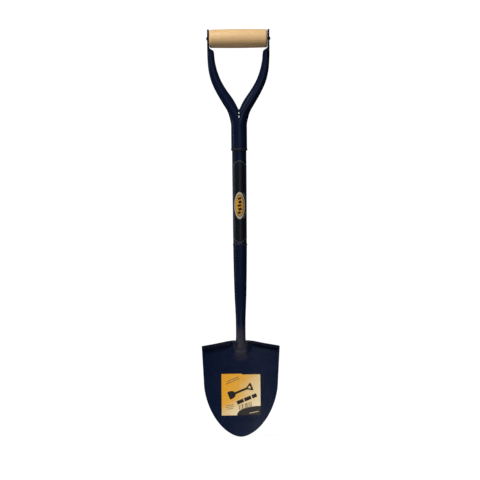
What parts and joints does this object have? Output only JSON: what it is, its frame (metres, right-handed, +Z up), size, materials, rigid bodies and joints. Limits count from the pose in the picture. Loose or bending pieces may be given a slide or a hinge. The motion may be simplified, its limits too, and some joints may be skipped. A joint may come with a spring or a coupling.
{
  "type": "round point shovel",
  "caption": "All-steel round point shovel: dished blade with forward-turned treads, tapered socket, tubular shaft and a split-tube Y handle with a turned wooden grip.",
  "frame": {"origin": "centre of the wooden grip, where the shaft's axis crosses the axis of the grip's rivet", "axes": "+Z up the shaft towards the grip, +X along the grip to the right as seen from the front, -Y towards the hollow front of the blade"},
  "size_m": [0.1866, 0.1208, 0.9737],
  "materials": {
    "navy_paint": "semi-gloss stoved enamel",
    "painted_weld": "semi-gloss enamel over rippled weld",
    "painted_rivet": "semi-gloss enamel, rubbed",
    "beech": "turned and sanded, unvarnished",
    "black_decal": "gloss vinyl",
    "amber_badge": "gloss vinyl",
    "paper_label": "coated paper"
  },
  "bodies": {
    "frame": {"blade": "navy_paint", "socket": "navy_paint", "shaft_tube": "navy_paint", "yoke": "navy_paint", "grip_rivet": "painted_rivet", "yoke_weld": "painted_weld", "crotch_welds": "painted_weld", "socket_weld": "painted_weld", "socket_seam": "painted_weld", "blade_weld_front": "painted_weld", "blade_welds_rear": "painted_weld", "shaft_decal": "black_decal", "shaft_badge": "amber_badge", "blade_label": "paper_label"},
    "grip": {"grip": "beech"}
  },
  "joints": [
    {"name": "grip_turn", "type": "hinge", "parent": "frame", "child": "grip", "pos_m": [0, 0, 0], "axis": [1, 0, 0], "continuous": true}
  ]
}
